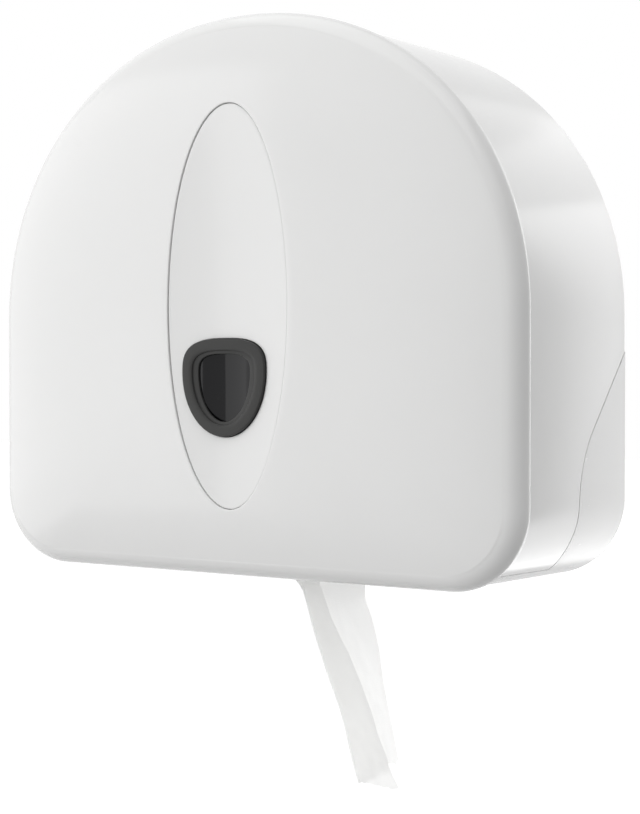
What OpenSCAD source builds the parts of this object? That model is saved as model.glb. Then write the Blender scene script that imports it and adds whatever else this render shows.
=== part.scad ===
// Wall-mounted jumbo toilet roll dispenser, in millimetres.
// The origin is on the wall, in line with the spindle: +X right, +Y into the wall, +Z up.
// "Depth" below is the distance that a point stands out from the wall, so y = -depth.

/* [Body] */
// Width across the front lip
body_w = 336; // [300:1:380]
// Height of the front lip above the spindle axis
arch_h = 163.5; // [150:0.5:185]
// Distance from the spindle axis down to the underside of the front lip
drop_h = 139.7; // [134:0.1:160]
// Fullness of the arch, 2 being an ellipse
arch_fullness = 2.08; // [1.9:0.01:2.3]
// Radius of the lower corners
corner_r = 42.5; // [36:0.5:50]
// Depth of the front lip from the wall
lip_d = 119; // [117:0.5:140]
// How far the side walls flare out at the wall, past the front lip
flare = 2.4; // [1:0.1:4]
// How far the side walls stand back behind the lip's edge
lip_step = 1.4; // [0.8:0.1:2]
// Radius of the rounded front edge
edge_r = 11.5; // [9:0.5:14]
// Bulge of the domed front
dome_h = 7.5; // [5:0.5:10]
// Flatness of the dome's middle, 2 being an even curve
dome_power = 5; // [2:0.5:6]
// Thickness of the moulded walls
wall_t = 3; // [2.6:0.1:3.6]

/* [Parting lines] */
// Gap between the cover and the base where they meet edge to edge
part_gap = 0.45; // [0.4:0.05:0.8]
// Gap between the tray's front edge and the cover, which swings down past it
tray_front_gap = 1.6; // [1.4:0.1:2.5]
// Gap between the back of the cover and the wall
wall_gap = 1; // [0.6:0.1:2]
// Clearance between the cover's walls and the rim of the base inside them
rim_gap = 1.2; // [1:0.1:2]
// Distance of the tray's sides in from the lip's edge
tray_inset = 20; // [18:0.5:24]
// Depth of the tray's front edge
tray_d = 111; // [110:0.5:112]
// Height of the tray's front upstand
tray_lip_h = 9; // [6:0.5:12]
// Depth of the base's perimeter rim
rim_d = 14; // [10:0.5:18]

/* [Hinge] */
// Distance of the hinge pins from the wall
pin_d = 30; // [28:0.5:32]
// Height of the hinge pins above the underside of the lip
pin_up = 23; // [21:0.5:25]
// Radius of the hinge pins
pin_r = 3; // [2.5:0.1:3.5]
// Radius of the cheek's round front edge, about the hinge pin
heel_r = 28; // [27:0.5:29]
// Height above the underside at which the cheek's edge starts to lean back
heel_up = 39; // [36:0.5:42]
// Radius of the cheek's upper curve
sweep_r = 58; // [54:1:62]
// Angle that the upper curve turns through
sweep_a = 44.5; // [42:0.5:47]
// Distance of the hinge arms' inner face in from the lip's edge
arm_inset = 18; // [17.5:0.5:19]
// Thickness of a hinge arm
arm_t = 5; // [4:0.25:5.5]
// Length of a hinge arm above its pin
arm_l = 95; // [80:1:100]

/* [Panel] */
// Half the width of the elliptical panel
panel_a = 38.6; // [34:0.1:42]
// Half the height of the elliptical panel
panel_b = 108.2; // [100:0.1:112]
// Height of the panel's middle above the spindle axis
panel_z = 5.8; // [0:0.1:10]
// Thickness of the panel
panel_t = 2; // [1.8:0.1:2.4]
// Depth of the hollow along the middle of the panel
panel_dish = 1.8; // [1:0.1:3]
// How far the panel's edge lies below the front around it
panel_sink = 0.8; // [0.3:0.1:0.9]
// Gap around the panel
panel_gap = 0.4; // [0.3:0.05:0.6]
// Width of the ledge that the panel sits on
ledge_w = 5; // [4:0.5:6]
// Thickness of that ledge
ledge_t = 2.6; // [2:0.1:3]

/* [Window] */
// Half the width of the window's dark surround
window_a = 26.7; // [24:0.1:28]
// Place of the surround's middle to the left of the body's middle
window_left = 2; // [0:0.1:3]
// Height of the surround's widest place below the spindle axis
window_drop = 29.2; // [26:0.1:32]
// Height of the surround above its widest place
window_up = 17.9; // [15:0.1:20]
// Height of the surround below its widest place
window_down = 34.4; // [32:0.1:38]
// Squareness of the surround's top, 2 being an ellipse
window_square = 2.95; // [2:0.05:3.5]
// How far the surround stands out past the crown of the front
window_proud = 0.3; // [0:0.1:1.5]
// Width of the surround's face
bezel_w = 6.3; // [5:0.1:7]
// Width of the ledge between the face and the lens at the top and bottom
lens_ledge = 1.7; // [1:0.1:2.5]
// How much wider that ledge is at the sides
lens_side = 1.9; // [0:0.1:3]
// Thickness of the lens
lens_t = 1.8; // [1.5:0.1:2.4]
// Hollow of the lens
lens_dish = 1.6; // [1:0.1:2.5]

/* [Roll] */
// Least clearance between a full roll and the screws below and above it
roll_clear = 4; // [3:0.5:12]
// Width of the paper roll
roll_w = 93; // [85:1:94]
// Inner radius of the cardboard core
core_r = 30; // [28:0.5:38]
// Thickness of the cardboard core
core_t = 1.6; // [1:0.1:3]
// Depth of the roll's back edge
roll_d = 13; // [12.5:0.1:13.5]
// Radius of the sleeve that carries the core
sleeve_r = 28.4; // [26:0.1:28.8]
// Radius of the fixed spindle
spindle_r = 21; // [18:0.5:23]
// Radius of the spindle's flange
flange_r = 42; // [38:0.5:46]
// Thickness of the spindle's flange
flange_t = 4; // [3:0.5:5]
// Radius of the circle of spindle screws
flange_screw_r = 33; // [31:0.5:35]
// Clearance of a soft or loose seat
seat_gap = 0.3; // [0.25:0.05:0.35]
// Running clearance of a pin in its bore
run_gap = 0.05; // [0.02:0.01:0.09]

/* [Paper] */
// Thickness of the modelled paper web
web_t = 0.6; // [0.5:0.1:0.8]
// Depth of the tail's front fold
tail_front_d = 90; // [84:1:96]
// Depth of the tail's back edge
tail_back_d = 22; // [18:1:30]
// Sideways place of the tail as it leaves the tray
tail_x = 17; // [8:1:20]
// Sideways drift of the tail as it hangs
tail_drift = 33; // [15:1:36]
// How far the tail hangs below the underside
tail_len = 113; // [70:1:120]
// How far below the underside the web turns into the tail
tail_top_drop = 10; // [8:0.5:12]

/* [Outlet] */
// Half the width of the outlet in the tray
outlet_half_w = 40; // [36:1:44]
// Depth of the outlet's back edge
outlet_back_d = 8; // [6:0.5:10]
// Width of the tray's edge in front of the outlet
outlet_front_w = 4.5; // [4:0.1:8]
// Width of the rails beside the outlet
rail_w = 13; // [12:0.5:15]
// Height of the rails' tops above the underside
rail_up = 6; // [5.5:0.5:7]
// Thickness of a tear bar
bar_t = 1.2; // [0.8:0.1:1.6]
// Pitch of the tear bar's teeth
tooth_pitch = 4; // [3:0.5:5]
// Length of the tear bar's teeth
tooth_l = 3.2; // [2.5:0.1:4]

/* [Wall fixing] */
// Sideways spacing of the wall screw holes
hole_x = 210; // [200:1:216]
// Upright spacing of the wall screw holes
hole_z = 170; // [160:1:174]
// Radius of the wall screw holes
hole_r = 2.75; // [2.25:0.05:3.25]
// Radius of the bosses round the wall screw holes
boss_r = 9; // [7:0.5:10]
// Height of those bosses above the back plate
boss_h = 4; // [2:0.5:5]
// Radius of the small screws' shanks
screw_r = 1.75; // [1.5:0.05:2]
// Radius of the small screws' heads
screw_head_r = 3.4; // [3:0.1:3.8]
// Thickness of the small screws' heads
screw_head_t = 2.2; // [1.8:0.1:2.6]

/* [Lock] */
// Depth of the lock's axis
lock_d = 34; // [32:0.5:36]
// Radius of the lock barrel
barrel_r = 7; // [6:0.25:8]
// Radius of the boss round the barrel
lock_boss_r = 11; // [10:0.25:12]
// Reach of the latch cam from the barrel's axis
cam_reach = 20; // [18:0.5:22]
// Half the width of the cam's tongue
cam_half_w = 4; // [3:0.25:4.5]
// Thickness of the cam
cam_t = 3; // [2.5:0.25:3.5]
// Thickness of the steel keeper
keeper_t = 1.5; // [1.2:0.1:2]
// Distance of the keeper's near edge from the lock axis
keeper_x = 12; // [11:0.5:13]
// Width of the keeper
keeper_w = 12; // [10:0.5:14]

/* [Hidden] */

$fn = 48;
bottom_z = -drop_h;
middle_z = (arch_h - drop_h) / 2;
pin_z = bottom_z + pin_up;
wall_d = lip_d - 2.5;
edge_a = 75;
dome_d = lip_d + edge_r / sin(edge_a);
tray_half_w = body_w / 2 - tray_inset;
tray_cut_z = bottom_z + tray_lip_h + 7;
outlet_front_d = tray_d - outlet_front_w;
arm_x = body_w / 2 - arm_inset;
inner_d = dome_d - wall_t;
back_plate_inset = wall_t + rim_gap - flare;
hub_d = wall_t + flange_t;
shoulder_d = roll_d - seat_gap;
sleeve_end_d = roll_d + roll_w - 6;
spindle_t = 2.6;
roll_sag = core_r - sleeve_r - seat_gap;
roll_z = -roll_sag;
cap_r = sleeve_r - 1;
lock_boss_z = arch_h - 13;
nut_t = 3.5;
cam_z = lock_boss_z - 8.5;
room_below = drop_h - rail_up - bar_t - screw_head_t - roll_sag;
room_above = cam_z - screw_head_t + roll_sag;
roll_r = min(room_below, room_above) - roll_clear;
top_z = arch_h - wall_inset(lock_d);
barrel_top_z = top_z + 1.7;
ease = 0.2;
screw_tip_d = 1;
slot_half_w = 0.4;
slot_up = 1.2;
keeper_seat_d = wall_t + 4;
pin_x0 = arm_x - 9;
pin_x1 = body_w / 2 - 8;
hinge_boss_r = 8;
arm_half_w = 6;
past = 30;
arm_top_z = pin_z + arm_l;

// Outline of the body in the X-Z plane, drawn inside the front lip's by `inset`
function arch_point(a, w, h) = [
    w * sign(cos(a)) * pow(abs(cos(a)), 2 / arch_fullness),
    h * pow(abs(sin(a)), 2 / arch_fullness)];
function between(p, q, t) = p + (q - p) * t;
function outline(inset) =
    let (w = body_w / 2 - inset,
         h = arch_h - inset,
         low = bottom_z + inset,
         r = corner_r - inset,
         corner = low + r,
         arch = [for (a = [0:5:180]) arch_point(a, w, h)],
         left = [for (t = [0.33, 0.67]) [-w, t * corner]],
         left_corner = [for (a = [180:10:270]) [-w + r, corner] + r * [cos(a), sin(a)]],
         under = [for (t = [0.25:0.25:0.75]) between([-w + r, low], [w - r, low], t)],
         right_corner = [for (a = [270:10:360]) [w - r, corner] + r * [cos(a), sin(a)]],
         right = [for (t = [0.67, 0.33]) [w, t * corner]])
    concat(arch, left, left_corner, under, right_corner, right);

// How far inside the lip's edge the side walls' outer face lies at a depth
function wall_inset(depth) = (flare + lip_step) * depth / wall_d - flare;

// The outline as a ring of points at a depth, scaled about the middle of the front
function ring(inset, depth, scale = 1) =
    [for (p = outline(inset)) [scale * p.x, -depth, middle_z + scale * (p.y - middle_z)]];

// How far out a point of the front lies, from 0 at its middle to 1 at its rounded edge
rim_line = outline(edge_r);
function cross_z(p, q) = p.x * q.y - p.y * q.x;
function reach(x, z) =
    let (p = [x, z - middle_z],
         c = [0, middle_z])
    max([for (i = [0:len(rim_line) - 1])
        let (u = rim_line[i] - c,
             v = rim_line[(i + 1) % len(rim_line)] - c)
        cross_z(p, v - u) / cross_z(u, v - u)]);
function dome_at(s) = dome_h * (1 - pow(s, dome_power));
function front_depth(x, z) = dome_d + dome_at(reach(x, z));

// Teardrop outline of the window, drawn inside the surround's by `inset`, and by `side` more at its sides
function window_outline(inset, side = 0) =
    [for (a = [0:7.5:352.5])
        let (h = sin(a) >= 0 ? window_up - inset : window_down - inset,
             n = sin(a) >= 0 ? window_square : 2)
        [(window_a - inset - side) * sign(cos(a)) * pow(abs(cos(a)), 2 / n) - window_left,
         -window_drop + h * sign(sin(a)) * pow(abs(sin(a)), 2 / n)]];

function ellipse(grow) =
    [for (a = [0:6:354]) [(panel_a + grow) * cos(a), panel_z + (panel_b + grow) * sin(a)]];

// Side outline of the cheeks, as [depth, height], grown by `gap`
function cheek_outline(gap) =
    let (straight_d = pin_d + heel_r,
         sweep_z = bottom_z + heel_up,
         c = [straight_d - sweep_r, sweep_z],
         top = c + (sweep_r + gap) * [cos(sweep_a), sin(sweep_a)],
         back = top + [-(top.x + 10), (top.x + 10) / tan(sweep_a)])
    concat([for (a = [-70:7:0]) [pin_d, pin_z] + (heel_r + gap) * [cos(a), sin(a)]],
           [for (a = [0:sweep_a / 8:sweep_a + 0.01]) c + (sweep_r + gap) * [cos(a), sin(a)]],
           [back, [-10, bottom_z - 20], [pin_d + 9, bottom_z - 20]]);

function mean(points) = [for (i = [0:2]) sum([for (p = points) p[i]]) / len(points)];
function sum(v) = v * [for (x = v) 1];

// Closed band through rings of points, the last ring joining the first
module band(rings) {
    n = len(rings[0]);
    m = len(rings);
    points = [for (r = rings) each r];
    faces = [for (i = [0:m - 1], k = [0:n - 1])
        let (j = (i + 1) % m,
             l = (k + 1) % n)
        [i * n + k, j * n + k, j * n + l, i * n + l]];
    polyhedron(points, faces, convexity = 6);
}

// Solid through rings of points, from the rear ring to the front one, with flat ends
module loft(rings) {
    n = len(rings[0]);
    m = len(rings);
    points = concat([for (r = rings) each r], [mean(rings[0]), mean(rings[m - 1])]);
    sides = [for (i = [0:m - 2], k = [0:n - 1])
        let (l = (k + 1) % n)
        [i * n + k, (i + 1) * n + k, (i + 1) * n + l, i * n + l]];
    rear = [for (k = [0:n - 1]) [m * n, k, (k + 1) % n]];
    front = [for (k = [0:n - 1]) [m * n + 1, (m - 1) * n + (k + 1) % n, (m - 1) * n + k]];
    polyhedron(points, concat(sides, rear, front), convexity = 6);
}

// Shell between a front skin and a rear skin, each a list of rings from its rim to its middle
module two_skins(front, rear, front_middle, rear_middle) {
    n = len(front[0]);
    a = len(front);
    b = len(rear);
    points = concat([for (r = front) each r], [for (r = rear) each r], [front_middle, rear_middle]);
    front_faces = [for (i = [0:a - 2], k = [0:n - 1])
        let (l = (k + 1) % n)
        [i * n + k, (i + 1) * n + k, (i + 1) * n + l, i * n + l]];
    rear_faces = [for (i = [a:a + b - 2], k = [0:n - 1])
        let (l = (k + 1) % n)
        [i * n + k, i * n + l, (i + 1) * n + l, (i + 1) * n + k]];
    rim_faces = [for (k = [0:n - 1])
        let (l = (k + 1) % n)
        [k, l, a * n + l, a * n + k]];
    front_cap = [for (k = [0:n - 1]) [(a + b) * n, (a - 1) * n + (k + 1) % n, (a - 1) * n + k]];
    rear_cap = [for (k = [0:n - 1])
        [(a + b) * n + 1, (a + b - 1) * n + k, (a + b - 1) * n + (k + 1) % n]];
    polyhedron(points, concat(front_faces, rear_faces, rim_faces, front_cap, rear_cap),
               convexity = 6);
}

// Extrudes a front-view shape between two depths
module from_front(d0, d1) {
    translate([0, -d0, 0]) rotate([90, 0, 0]) linear_extrude(d1 - d0) children();
}

// Extrudes a [depth, height] shape across the middle, `width` wide
module from_side(width) {
    rotate([90, 0, -90]) linear_extrude(width, center = true) children();
}

// Cylinder along the depth, between two depths
module post(r, d0, d1, x = 0, z = 0) {
    translate([x, -d0, z]) rotate([90, 0, 0]) cylinder(r = r, h = d1 - d0);
}

// Cylinder along X, between two places
module bar(r, x0, x1, depth, z) {
    translate([x0, -depth, z]) rotate([0, 90, 0]) cylinder(r = r, h = x1 - x0);
}

// Block between two corners given as [x, depth, z]
module block(a, b) {
    translate([a.x, -b.y, a.z]) cube([b.x - a.x, b.y - a.y, b.z - a.z]);
}

// Slotted screw from just inside the back plate, with its head in front of `seat_d`
module screw(x, z, seat_d) {
    post(screw_r, screw_tip_d, seat_d, x, z);
    difference() {
        post(screw_head_r, seat_d, seat_d + screw_head_t, x, z);
        block([x - screw_head_r - 1, seat_d + slot_up, z - slot_half_w],
              [x + screw_head_r + 1, seat_d + screw_head_t + 1, z + slot_half_w]);
    }
}

// Tapering side walls of the body, without a front
module side_walls(depth) {
    band([ring(-flare, 0), ring(wall_inset(depth), depth),
          ring(wall_inset(depth) + wall_t, depth), ring(-flare + wall_t, 0)]);
}

module cheek_prism(gap) {
    from_side(2 * body_w) polygon(cheek_outline(gap));
}

module tray_block(side_gap, front_gap) {
    block([-tray_half_w - side_gap, -10, bottom_z - 20],
          [tray_half_w + side_gap, tray_d + front_gap, tray_cut_z]);
}

// Everything inside the body's outer surface, less a skin of `depth_in`
module inside_walls(depth_in) {
    loft([ring(-flare + depth_in, 0), ring(lip_step + depth_in, wall_d)]);
}

hub_screws = [for (a = [45:90:315]) flange_screw_r * [cos(a), sin(a)]];
wall_holes = [for (x = [-1, 1], z = [-1, 1]) [x * hole_x / 2, z * hole_z / 2]];
rail_z = bottom_z + rail_up;
bar_screw_d = [outlet_back_d + rail_w, outlet_front_d - rail_w];
bar_screw_x = outlet_half_w + rail_w / 2 + 1;
keeper_screw_x = keeper_x + keeper_w / 2;
keeper_screw_z = [cam_z - 22, cam_z - 11];

module hinge_post(side) {
    outer = arm_x - 1;
    translate([side > 0 ? 0 : -pin_x0 - outer, 0, 0]) {
        block([pin_x0, 0, bottom_z], [outer, pin_d + hinge_boss_r + 1, pin_z]);
        bar(hinge_boss_r + 1, pin_x0, outer, pin_d, pin_z);
    }
    far = arm_x + arm_t + 0.6;
    bar(hinge_boss_r, side > 0 ? far : -pin_x1 - 3, side > 0 ? pin_x1 + 3 : -far, pin_d, pin_z);
}

module base() color("whitesmoke") {
    difference() {
        union() {
            intersection() {
                side_walls(tray_d);
                union() {
                    cheek_prism(0);
                    tray_block(0, 0);
                }
            }
            from_front(0, wall_t) polygon(outline(back_plate_inset));
            from_front(0, rim_d) difference() {
                polygon(outline(back_plate_inset));
                polygon(outline(back_plate_inset + 2.4));
            }
            intersection() {
                inside_walls(1);
                union() {
                    block([-tray_half_w, tray_d - 3.5, bottom_z - 5],
                          [tray_half_w, tray_d, bottom_z + tray_lip_h]);
                    for (side = [-1, 1]) hinge_post(side);
                }
            }
            for (side = [-1, 1]) {
                rail_x = side * (outlet_half_w + rail_w / 2);
                block([rail_x - rail_w / 2, 1, bottom_z - 0.6],
                      [rail_x + rail_w / 2, tray_d - 2, rail_z]);
            }
            for (p = wall_holes) post(boss_r, 1, wall_t + boss_h, p.x, p.y);
            for (a = [20, 160, 200, 340])
                rotate([0, -a, 0]) block([flange_r + 3, 1, -1.2], [roll_r + 8, wall_t + 5, 1.2]);
            block([keeper_x - 2, 1, cam_z - 27], [keeper_x + keeper_w + 2, keeper_seat_d, cam_z - 4]);
        }
        block([-outlet_half_w, outlet_back_d, bottom_z - past],
              [outlet_half_w, outlet_front_d, bottom_z + past]);
        for (p = wall_holes) post(hole_r, -past, past, p.x, p.y);
        for (p = hub_screws) post(screw_r + run_gap, screw_tip_d - ease, past, p.x, p.y);
        for (z = keeper_screw_z) post(screw_r + run_gap, screw_tip_d - ease, past, keeper_screw_x, z);
        for (side = [-1, 1]) {
            bar(pin_r + run_gap, side > 0 ? pin_x0 - 6 : -pin_x1 - 1,
                side > 0 ? pin_x1 + 1 : 6 - pin_x0, pin_d, pin_z);
            for (d = bar_screw_d) translate([side * bar_screw_x, -d, bottom_z - 1])
                cylinder(r = screw_r + run_gap, h = past);
        }
    }
}

// Skins of the cover, from the rear edge round the lip and over the domed front
dome_steps = [0.95, 0.9, 0.84, 0.76, 0.66, 0.5, 0.25];
outer_skin = concat(
    [ring(wall_inset(wall_gap), wall_gap), ring(lip_step, wall_d),
     ring(0, wall_d + lip_step)],
    [for (a = [0:edge_a / 6:edge_a + 0.01]) ring(edge_r * (1 - cos(a)), lip_d + edge_r * sin(a))],
    [for (s = dome_steps) ring(edge_r, dome_d + dome_at(s), s)]);
inner_skin = concat(
    [ring(wall_inset(wall_gap) + wall_t, wall_gap),
     ring(lip_step + wall_t, lip_d)],
    [for (a = [15:20:edge_a])
        ring(lip_step + wall_t + (edge_r - lip_step - wall_t) * (1 - cos(a)),
             lip_d + (edge_r - wall_t) * sin(a))],
    [for (s = dome_steps) ring(edge_r, inner_d + dome_at(s), s)]);

// The panel's face is hollow and lies a little below the front; both carry on past its edge
function hollow(x, z) = max(0, 1 - pow(x / panel_a, 2) - pow((z - panel_z) / panel_b, 2));
function face_depth(x, z) = front_depth(x, z) - panel_sink - panel_dish * hollow(x, z);

// A ring of the panel's ellipse, `grow` wider, `rho` of the way out and `under` below its face
function panel_ring(grow, rho, under) =
    [for (p = ellipse(grow))
        let (x = p.x * rho,
             z = panel_z + (p.y - panel_z) * rho)
        [x, under - face_depth(x, z), z]];
ledge_top = panel_t + seat_gap;
ledge_root = panel_gap + 5;
ledge_rise = 1.2;

module hinge_arm(side) {
    x0 = side > 0 ? arm_x : -arm_x - arm_t;
    x1 = x0 + arm_t;
    bar(hinge_boss_r, x0, x1, pin_d, pin_z);
    block([x0, pin_d - arm_half_w, pin_z], [x1, pin_d + arm_half_w, arm_top_z]);
    pad_x = body_w / 2 - 1;
    block([side > 0 ? arm_x : -pad_x, pin_d, arm_top_z - 21],
          [side > 0 ? pad_x : -arm_x, pin_d + arm_half_w, arm_top_z]);
    block([side > 0 ? arm_x : -pad_x, pin_d - arm_half_w, arm_top_z - 6],
          [side > 0 ? pad_x : -arm_x, pin_d + arm_half_w, arm_top_z]);
}

module front_cover() color("white") {
    difference() {
        union() {
            difference() {
                two_skins(outer_skin, inner_skin,
                          [0, -(dome_d + dome_h), middle_z], [0, -(inner_d + dome_h), middle_z]);
                cheek_prism(part_gap);
                tray_block(part_gap, tray_front_gap);
                from_front(lip_d, lip_d + past) polygon(ellipse(panel_gap));
            }
            band([for (p = [[ledge_root, ledge_top + ledge_t], [ledge_root, ledge_top - ledge_rise],
                            [panel_gap, ledge_top], [-ledge_w, ledge_top],
                            [-ledge_w, ledge_top + ledge_t]])
                panel_ring(p.x, 1, p.y)]);
            for (side = [-1, 1]) hinge_arm(side);
            translate([0, -lock_d, lock_boss_z])
                cylinder(r = lock_boss_r, h = arch_h - lock_boss_z - 0.8);
        }
        for (side = [-1, 1]) bar(pin_r + run_gap, side > 0 ? arm_x - 5 : -arm_x - arm_t - 5,
                                 side > 0 ? arm_x + arm_t + 5 : 5 - arm_x, pin_d, pin_z);
        translate([0, -lock_d, arch_h - past]) cylinder(r = barrel_r + run_gap, h = 2 * past);
    }
}

clip_a = [20, 55, 125, 160, 235, 305];
stud_r = 1.6;
clip_r = 6;
clip_t = 0.8;
clip_inset = ledge_w + 3.4;
clip_gap = 0.6;

module decor_panel() color("white") {
    rhos = [1, 0.85, 0.7, 0.5, 0.3, 0.12];
    difference() {
        union() {
            two_skins([for (r = rhos) panel_ring(0, r, 0)],
                      [for (r = rhos) panel_ring(0, r, panel_t)],
                      [0, -face_depth(0, panel_z), panel_z],
                      [0, panel_t - face_depth(0, panel_z), panel_z]);
            for (a = clip_a) clip_stud(a);
        }
        from_front(lip_d, lip_d + past) polygon(window_outline(-panel_gap));
    }
}

// Place of a clip stud on the panel, just inside the ledge
function clip_place(a) =
    [(panel_a - clip_inset) * cos(a), panel_z + (panel_b - clip_inset) * sin(a)];
function clip_depth(a) =
    face_depth(clip_place(a).x, clip_place(a).y) - ledge_top - ledge_t - clip_gap;

module clip_stud(a) {
    p = clip_place(a);
    post(stud_r, clip_depth(a) - 4, clip_depth(a) + ledge_t + clip_gap + 1, p.x, p.y);
}

module panel_clips() color("silver") {
    for (a = clip_a) {
        p = clip_place(a);
        difference() {
            post(clip_r, clip_depth(a) - clip_t, clip_depth(a), p.x, p.y);
            post(stud_r + run_gap, clip_depth(a) - 3, clip_depth(a) + 2, p.x, p.y);
        }
    }
}

// The surround stands in the panel's window, with a flange behind the panel
window_face_d = dome_d + dome_h + window_proud;
window_step_d = window_face_d - 1.3;
lens_d = window_step_d - 1.2;
flange_top_d = face_depth(0, -window_drop) - panel_t - ease;
flange_back_d = flange_top_d - 1.5;
lens_hole = bezel_w + lens_ledge;

module window_surround() color([0.23, 0.23, 0.24]) {
    difference() {
        union() {
            from_front(flange_back_d, window_face_d) polygon(window_outline(0));
            from_front(flange_back_d, flange_top_d) polygon(window_outline(-2.2));
        }
        from_front(lens_d - past, lens_d + past) polygon(window_outline(lens_hole, lens_side));
        from_front(lens_d - past, lens_d) polygon(window_outline(bezel_w));
        from_front(window_step_d, window_step_d + past) polygon(window_outline(bezel_w));
    }
}

module window_lens() color([0.12, 0.12, 0.13]) {
    front = lens_d - run_gap;
    curve_r = 60;
    difference() {
        from_front(front - lens_t - lens_dish, front) polygon(window_outline(bezel_w + ease));
        translate([-window_left, -front - curve_r, -window_drop])
            cylinder(r = curve_r + lens_dish, h = 4 * window_down, center = true, $fn = 240);
    }
}

module hinge_pin(side) {
    bar(pin_r, side > 0 ? pin_x0 : -pin_x1, side > 0 ? pin_x1 : -pin_x0, pin_d, pin_z);
}
module hinge_pin_left() color("silver") hinge_pin(-1);
module hinge_pin_right() color("silver") hinge_pin(1);

module spindle() color("whitesmoke") {
    difference() {
        union() {
            post(flange_r, wall_t, hub_d);
            post(sleeve_r + 5, hub_d, shoulder_d);
            post(spindle_r, shoulder_d, sleeve_end_d + 1);
        }
        post(spindle_r - spindle_t, hub_d + 2, sleeve_end_d + past);
        for (p = hub_screws) post(screw_r + run_gap, 0, past, p.x, p.y);
        for (p = hub_screws) post(screw_head_r + 0.6, hub_d, past, p.x, p.y);
    }
}

module spindle_screws() color("silver") {
    for (p = hub_screws) screw(p.x, p.y, hub_d);
}

leaf_w = 9;
leaf_d0 = roll_d + 12;
leaf_d1 = roll_d + roll_w - 22;

module spindle_sleeve() color("gainsboro") {
    difference() {
        post(sleeve_r, shoulder_d, sleeve_end_d);
        post(spindle_r + run_gap, 0, sleeve_end_d + past);
        block([-leaf_w / 2 - seat_gap, leaf_d0 - 1, -sleeve_r - 5],
              [leaf_w / 2 + seat_gap, leaf_d1 + 1, -sleeve_r + 2]);
        for (a = [45:90:315])
            rotate([0, a, 0]) block([spindle_r + 2, shoulder_d - 1, -5], [sleeve_r - 2, sleeve_end_d - 4, 5]);
    }
}

module spindle_cap() color("gainsboro") {
    difference() {
        union() {
            post(cap_r, sleeve_end_d + 1, sleeve_end_d + 4);
            post(spindle_r - spindle_t - run_gap, sleeve_end_d - 7, sleeve_end_d + 2);
        }
        post(spindle_r - 5, sleeve_end_d - 20, sleeve_end_d + 2);
        block([-9, sleeve_end_d + 2.6, -1.2], [9, sleeve_end_d + 9, 1.2]);
    }
}

module core_brake_leaf() color("silver") {
    core_sag = core_r - sqrt(pow(core_r, 2) - pow(leaf_w / 2, 2));
    rise = core_r + roll_sag - sleeve_r + 2 - seat_gap - core_sag - 0.5;
    middle = (leaf_d0 + leaf_d1) / 2;
    half = (leaf_d1 - leaf_d0) / 2;
    steps = [-1:0.125:1];
    upper = [for (t = steps) [middle + half * t, -sleeve_r + 2 - rise * (1 - t * t)]];
    lower = [for (i = [len(upper) - 1:-1:0]) upper[i] - [0, 0.5]];
    from_side(leaf_w) polygon(concat(upper, lower));
}

module roll_core() color("tan") {
    difference() {
        post(core_r + core_t, roll_d, roll_d + roll_w, 0, roll_z);
        post(core_r, 0, sleeve_end_d + past, 0, roll_z);
    }
}

module paper_roll() color("white") {
    difference() {
        post(roll_r, roll_d, roll_d + roll_w, 0, roll_z);
        post(core_r + core_t, 0, sleeve_end_d + past, 0, roll_z);
    }
}

// The web leaves the roll on its tangent and bends down through the outlet
exit_p = [tail_x, bottom_z - tail_top_drop];
fall = [tail_drift, tail_top_drop - tail_len];
leave_a = -110;
leave_p = [0, roll_z] + (roll_r + seat_gap + web_t / 2) * [cos(leave_a), sin(leave_a)];
leave_v = [-sin(leave_a), cos(leave_a)];
turn_s = cross_z(exit_p - leave_p, fall) / cross_z(leave_v, fall);
turn_p = leave_p + turn_s * leave_v;
function bezier(t) = (1 - t) * (1 - t) * leave_p + 2 * t * (1 - t) * turn_p + t * t * exit_p;
function bezier_v(t) = 2 * (1 - t) * (turn_p - leave_p) + 2 * t * (exit_p - turn_p);

// One station of a ribbon: its place in X and Z, its direction, and its two edges' depths
function station(p, v, d0, d1) =
    let (n = web_t / 2 * [v.y, -v.x] / norm(v))
    [[p.x - n.x, -d0, p.y - n.y], [p.x - n.x, -d1, p.y - n.y],
     [p.x + n.x, -d1, p.y + n.y], [p.x + n.x, -d0, p.y + n.y]];

module paper_web() color("white") {
    full_d = [roll_d + 1, roll_d + roll_w - 1];
    neck_d = [tail_back_d, tail_front_d];
    loft([for (t = [0:0.1:1])
        let (d = between(full_d, neck_d, 1 - pow(1 - t, 2)))
        station(bezier(t), bezier_v(t), d[0], d[1])]);
}

module paper_tail() color("white") {
    loft([for (t = [0.002, 0.25, 0.5, 0.75, 1])
        station(exit_p + fall * t + [1.5 * sin(180 * t), 0], fall,
                tail_back_d + 6 * t, tail_front_d - 4 * t)]);
}

module tear_bar(side) {
    far = outlet_half_w + rail_w - 1.5;
    teeth = floor((outlet_front_d - outlet_back_d - 2) / tooth_pitch);
    d0 = outlet_back_d + 1;
    edge = outlet_half_w - 1;
    saw = [for (i = [0:teeth - 1]) each [[edge, d0 + i * tooth_pitch],
                                         [edge - tooth_l, d0 + (i + 0.5) * tooth_pitch]]];
    shape = concat(saw, [[edge, d0 + teeth * tooth_pitch], [far, d0 + teeth * tooth_pitch], [far, d0]]);
    difference() {
        translate([0, 0, rail_z]) linear_extrude(bar_t)
            polygon([for (p = shape) [side * p.x, -p.y]]);
        for (d = bar_screw_d) translate([side * bar_screw_x, -d, rail_z - 1])
            cylinder(r = screw_r + run_gap, h = 9);
    }
}
module tear_bar_left() color("silver") tear_bar(-1);
module tear_bar_right() color("silver") tear_bar(1);

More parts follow.
